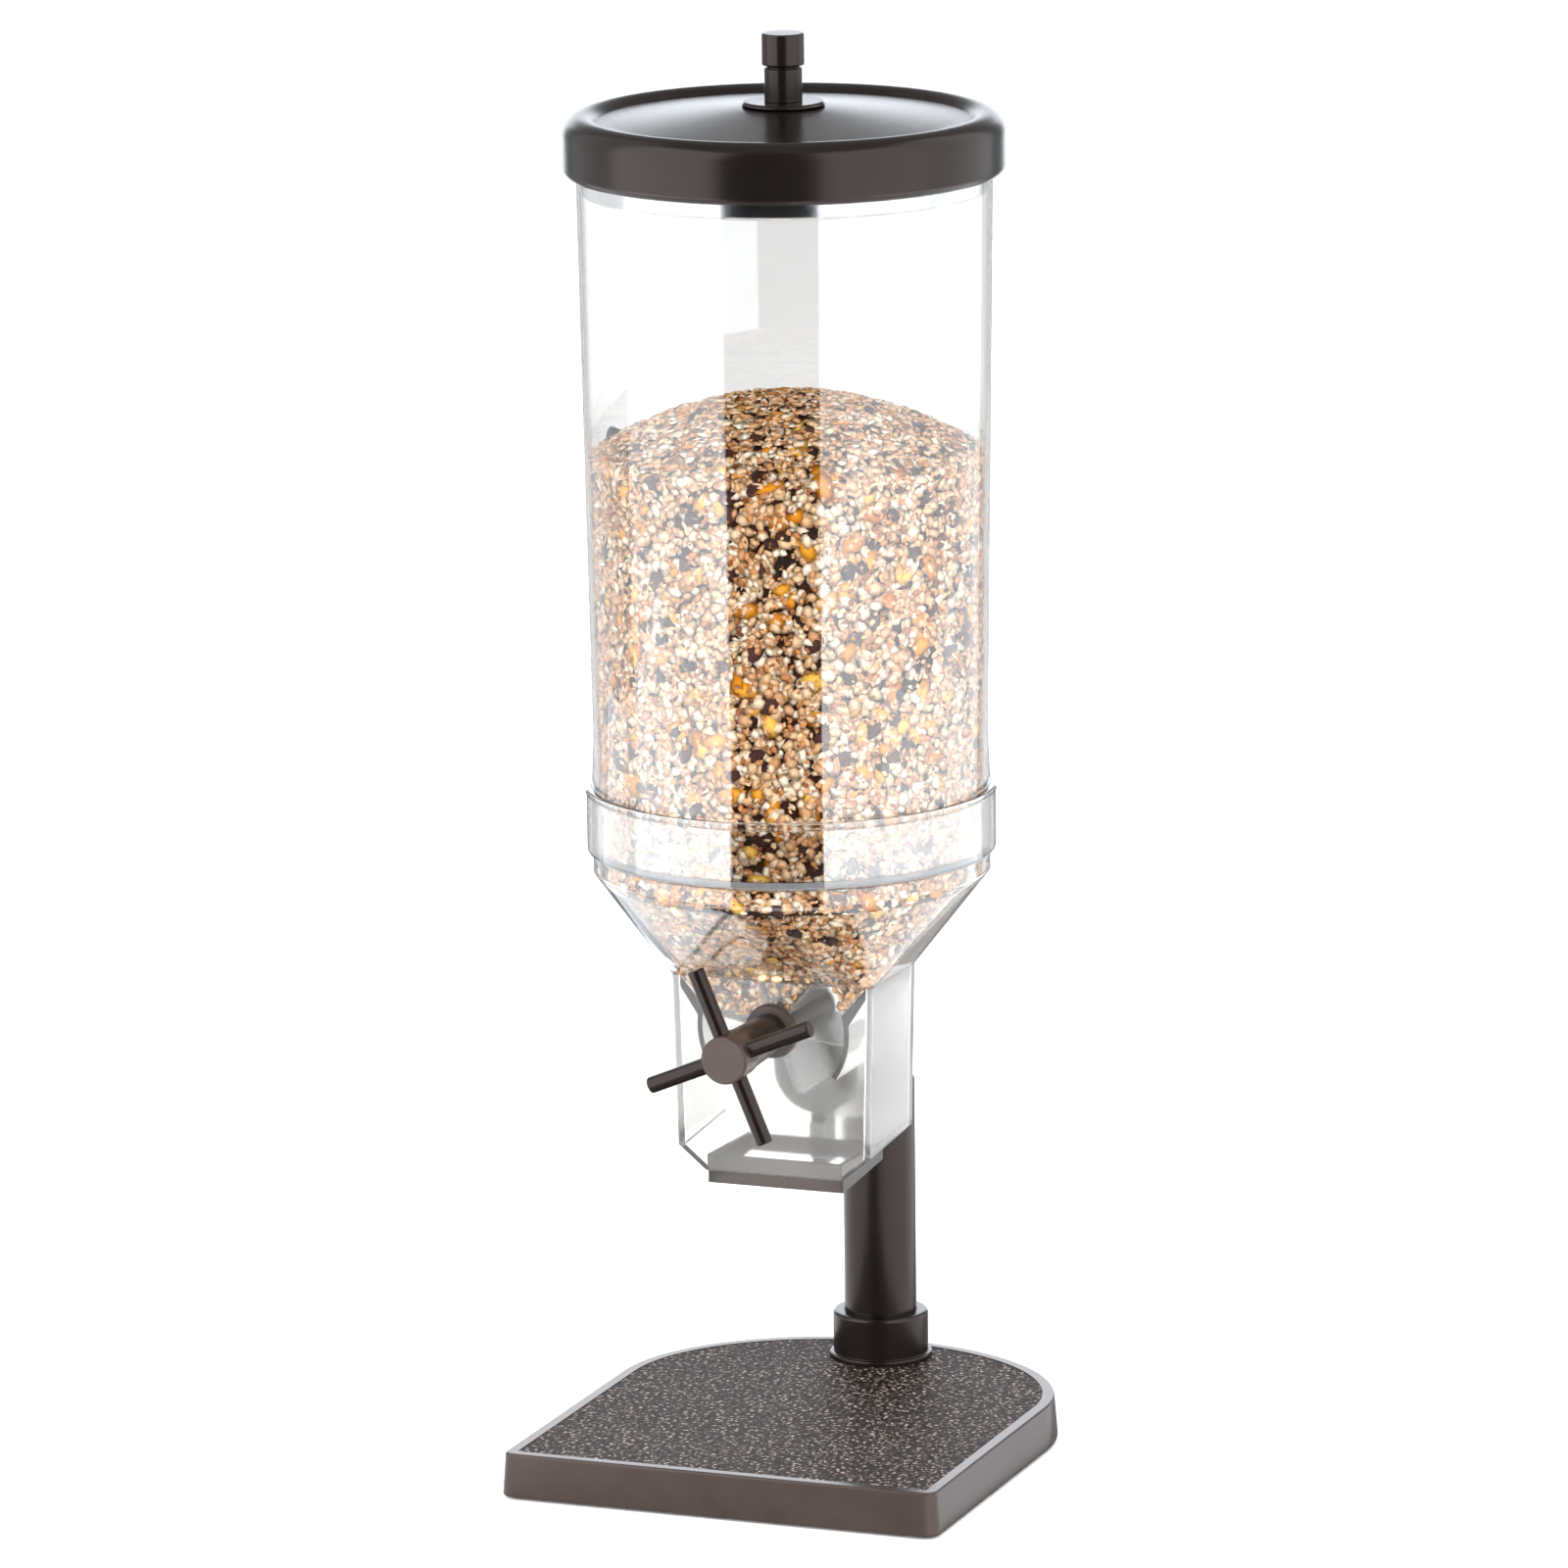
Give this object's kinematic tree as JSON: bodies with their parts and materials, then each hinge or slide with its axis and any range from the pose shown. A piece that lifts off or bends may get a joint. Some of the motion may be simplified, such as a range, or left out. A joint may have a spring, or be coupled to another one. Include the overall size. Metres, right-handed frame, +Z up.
{
  "type": "cereal dispenser",
  "caption": "Free-standing cereal dispenser: clear lidded container with a hand-turned portioning wheel and spout, hung on a post over a weighted D-shaped base.",
  "frame": {"origin": "centre of the footprint on the table, at the underside of the feet", "axes": "+Z up; the star knob and the straight front edge of the base face -Y, and the post stands at +Y; X is across the width"},
  "size_m": [0.176, 0.2026, 0.55],
  "materials": {
    "brown_metal": "satin brown-grey coating",
    "grained_panel": "pebble-grained dark brown",
    "steel": "plain zinc-plated steel",
    "dark_rubber": "matte",
    "cover_plastic": "matte black",
    "clear_plastic": "clear moulded styrene acrylonitrile or polycarbonate, gloss",
    "frosted_plastic": "frosted translucent",
    "silicone": "translucent grey silicone",
    "brown_plastic": "satin dark brown",
    "smoked_plastic": "smoky brown, translucent",
    "cereal": "loose muesli: oat flakes, corn flakes and raisins"
  },
  "bodies": {
    "stand": {"base_plate": "brown_metal", "base_panel": "grained_panel", "base_weight": "steel", "base_cover": "cover_plastic", "base_feet": "dark_rubber", "cover_screws": "steel", "post_tube": "brown_metal", "post_collar": "brown_metal", "post_lower_plug": "steel", "post_screw": "steel", "post_washer": "steel", "post_top_plug": "brown_metal", "hanger_arm": "brown_metal", "arm_screws": "steel", "rest_pad": "silicone"},
    "container": {"container_tube": "clear_plastic", "tube_seal": "silicone", "funnel": "clear_plastic", "neck_housing": "frosted_plastic", "spout_ring": "smoked_plastic", "metering_chamber": "frosted_plastic", "front_bushing": "brown_plastic", "rear_bushing": "brown_plastic", "rear_socket": "frosted_plastic", "cereal_fill": "cereal"},
    "lid": {"lid_shell": "brown_metal", "lid_liner": "steel", "lid_seal": "dark_rubber", "lid_washer": "brown_metal", "knob_stem": "brown_metal", "knob_cap": "brown_metal", "knob_screw": "steel"},
    "wheel": {"rotor_shaft": "steel", "rotor_hub": "brown_plastic", "paddle_1": "silicone", "paddle_2": "silicone", "paddle_3": "silicone", "paddle_4": "silicone", "paddle_5": "silicone", "paddle_6": "silicone", "thrust_washer": "silicone", "star_boss": "brown_metal", "boss_set_screw": "steel", "star_hub": "brown_metal", "star_arm_1": "brown_metal", "star_arm_2": "brown_metal", "star_arm_3": "brown_metal", "star_arm_4": "brown_metal"}
  },
  "joints": [
    {"name": "hopper_lift", "type": "slide", "parent": "stand", "child": "container", "axis": [0, 0, 1], "range_m": [0, 0.06]},
    {"name": "lid_lift", "type": "slide", "parent": "container", "child": "lid", "axis": [0, 0, 1], "range_m": [0, 0.06]},
    {"name": "wheel_spin", "type": "hinge", "parent": "container", "child": "wheel", "pos_m": [0, -0.01325, 0.174], "axis": [0, 1, 0], "continuous": true}
  ]
}
